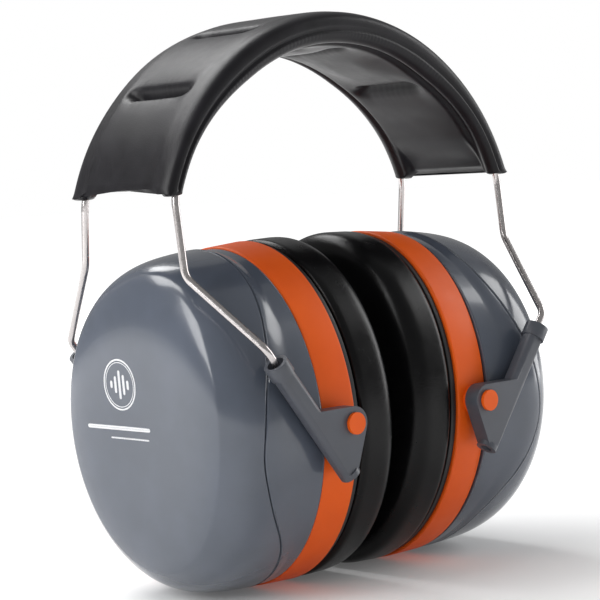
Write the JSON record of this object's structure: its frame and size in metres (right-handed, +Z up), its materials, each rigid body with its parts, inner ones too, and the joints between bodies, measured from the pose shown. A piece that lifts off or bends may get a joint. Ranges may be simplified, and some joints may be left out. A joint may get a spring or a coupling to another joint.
{
  "type": "earmuff hearing protector",
  "caption": "Over-the-head earmuffs: padded arched headband on paired spring wires, sliding arms, pivoting oval cups with soft ear cushions.",
  "frame": {"origin": "under the crown of the headband, where it rests on the head", "axes": "+X towards the wearer's ear on one side, +Y towards the back of the head, +Z up"},
  "size_m": [0.1522, 0.1084, 0.1847],
  "materials": {
    "band_skin": "soft satin vinyl with a fine grain",
    "cushion_skin": "smooth black vinyl, soft gloss",
    "soft_foam": "open foam, matt",
    "grey_shell": "glossy moulded plastic",
    "grey_arm": "satin moulded plastic",
    "orange_plastic": "satin moulded plastic",
    "black_plastic": "satin moulded plastic",
    "spring_steel": "bright drawn spring wire"
  },
  "bodies": {
    "crown": {"headband_cover": "band_skin", "headband_foam": "soft_foam", "crown_front_wire": "spring_steel", "crown_back_wire": "spring_steel"},
    "left_band": {"left_front_wire": "spring_steel", "left_back_wire": "spring_steel"},
    "left_arms": {"left_front_arm": "grey_arm", "left_back_arm": "grey_arm"},
    "left_cup": {"left_outer_cap": "grey_shell", "left_base_shell": "grey_shell", "left_mid_ring": "orange_plastic", "left_carrier_plate": "black_plastic", "left_ear_cushion": "cushion_skin", "left_cushion_foam": "soft_foam", "left_foam_disc": "soft_foam", "left_cup_foam": "soft_foam", "left_front_pin": "orange_plastic", "left_back_pin": "orange_plastic"},
    "right_band": {"right_front_wire": "spring_steel", "right_back_wire": "spring_steel"},
    "right_arms": {"right_front_arm": "grey_arm", "right_back_arm": "grey_arm"},
    "right_cup": {"right_outer_cap": "grey_shell", "right_base_shell": "grey_shell", "right_mid_ring": "orange_plastic", "right_carrier_plate": "black_plastic", "right_ear_cushion": "cushion_skin", "right_cushion_foam": "soft_foam", "right_foam_disc": "soft_foam", "right_cup_foam": "soft_foam", "right_front_pin": "orange_plastic", "right_back_pin": "orange_plastic"}
  },
  "joints": [
    {"name": "left_band_flex", "type": "hinge", "parent": "crown", "child": "left_band", "pos_m": [-0.042, 0, -0.00745], "axis": [0, 1, 0], "range_deg": [0, 38], "stiffness_Nm_per_rad": 1.5, "deforming": ["headband_cover"]},
    {"name": "left_height", "type": "slide", "parent": "left_band", "child": "left_arms", "axis": [0.5934, 0, -0.8049], "range_m": [0, 0.028], "deforming": ["left_ear_cushion", "left_cushion_foam"]},
    {"name": "left_cup_tilt", "type": "hinge", "parent": "left_arms", "child": "left_cup", "pos_m": [-0.0296, 0, -0.1175], "axis": [0, 1, 0], "range_deg": [-38, 0]},
    {"name": "right_band_flex", "type": "hinge", "parent": "crown", "child": "right_band", "pos_m": [0.042, 0, -0.00745], "axis": [0, -1, 0], "range_deg": [0, 38], "stiffness_Nm_per_rad": 1.5},
    {"name": "right_height", "type": "slide", "parent": "right_band", "child": "right_arms", "axis": [-0.5934, 0, -0.8049], "range_m": [0, 0.028], "deforming": ["right_ear_cushion", "right_cushion_foam"]},
    {"name": "right_cup_tilt", "type": "hinge", "parent": "right_arms", "child": "right_cup", "pos_m": [0.0296, 0, -0.1175], "axis": [0, -1, 0], "range_deg": [-38, 0]}
  ],
  "couplings": [
    {"joint": "right_band_flex", "follows": "left_band_flex", "ratio": 1},
    {"joint": "left_cup_tilt", "follows": "left_band_flex", "ratio": -1},
    {"joint": "right_cup_tilt", "follows": "left_band_flex", "ratio": -1}
  ]
}
